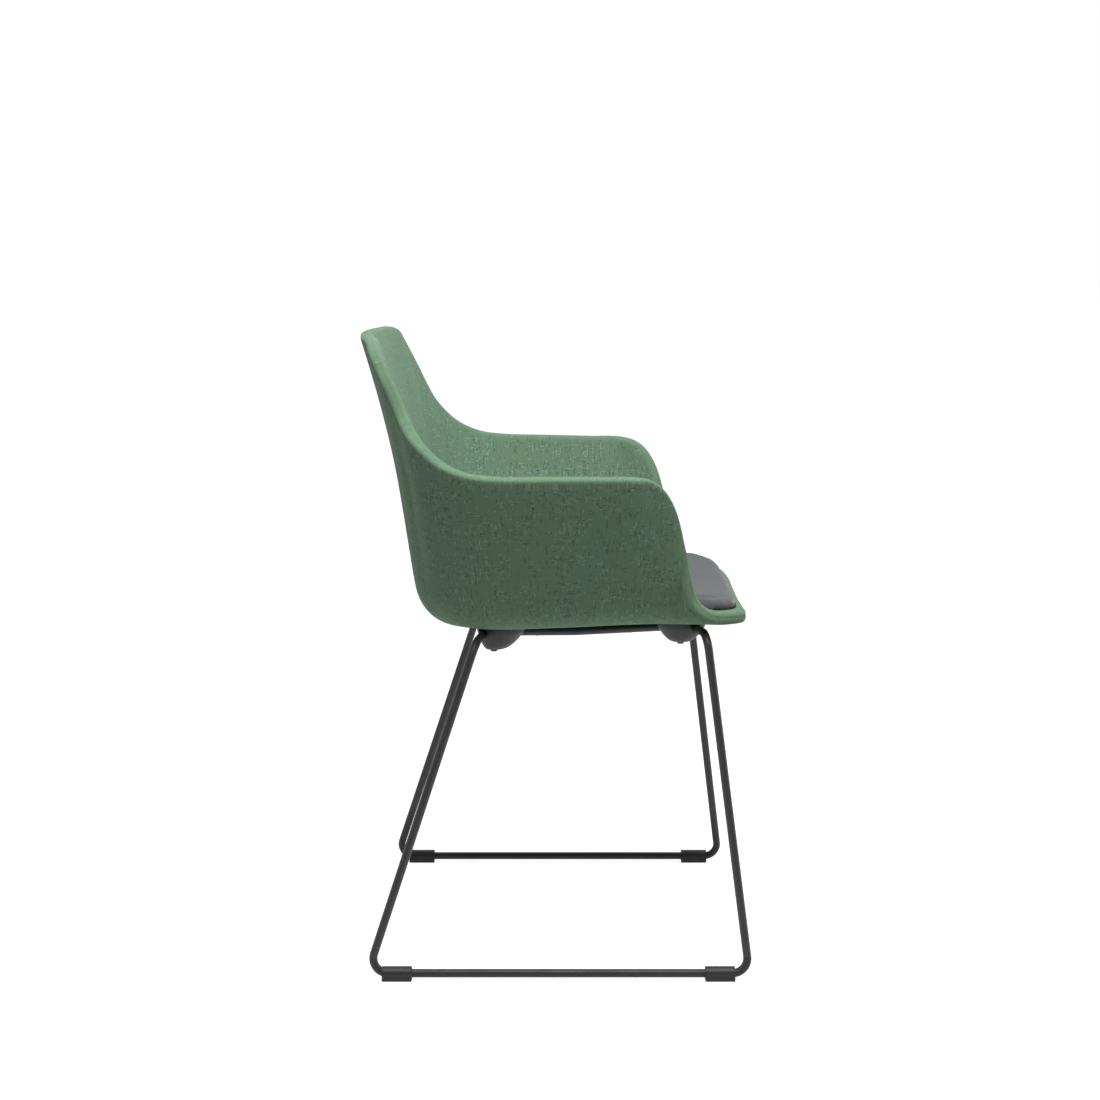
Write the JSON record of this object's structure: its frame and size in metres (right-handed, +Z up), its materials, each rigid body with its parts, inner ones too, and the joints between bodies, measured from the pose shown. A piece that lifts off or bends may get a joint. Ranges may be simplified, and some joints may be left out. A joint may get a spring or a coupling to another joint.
{
  "type": "sled base chair",
  "caption": "Upholstered bucket armchair with a loose-laid seat pad, screwed through domed mounts to a bent round-rod sled base with gliders.",
  "frame": {"origin": "on the floor, in the middle of the overall box", "axes": "+Z up; -Y is the front, where the sitter looks; +X is the sitter's left; the middle plane is x = 0"},
  "size_m": [0.606, 0.5215, 0.8364],
  "materials": {
    "shell_core": "moulded",
    "green_weave": "flecked woven upholstery",
    "grey_weave": "fine woven upholstery",
    "black_powder": "fine powder coat",
    "black_plastic": "fine grain",
    "black_steel": "black oxide",
    "zinc_steel": "zinc plated"
  },
  "bodies": {
    "root": {"shell_core": "shell_core", "outer_upholstery": "green_weave", "inner_upholstery": "green_weave", "seat_pad": "grey_weave", "left_side_frame": "black_powder", "right_side_frame": "black_powder", "front_cross_bar": "black_powder", "back_cross_bar": "black_powder", "mount_front_left": "black_plastic", "mount_front_right": "black_plastic", "mount_back_left": "black_plastic", "mount_back_right": "black_plastic", "screw_front_left": "black_steel", "screw_front_right": "black_steel", "screw_back_left": "black_steel", "screw_back_right": "black_steel", "insert_front_left": "zinc_steel", "insert_front_right": "zinc_steel", "insert_back_left": "zinc_steel", "insert_back_right": "zinc_steel", "glider_front_left": "black_plastic", "glider_front_right": "black_plastic", "glider_back_left": "black_plastic", "glider_back_right": "black_plastic", "glider_pin_front_left": "black_steel", "glider_pin_front_right": "black_steel", "glider_pin_back_left": "black_steel", "glider_pin_back_right": "black_steel"}
  },
  "joints": []
}
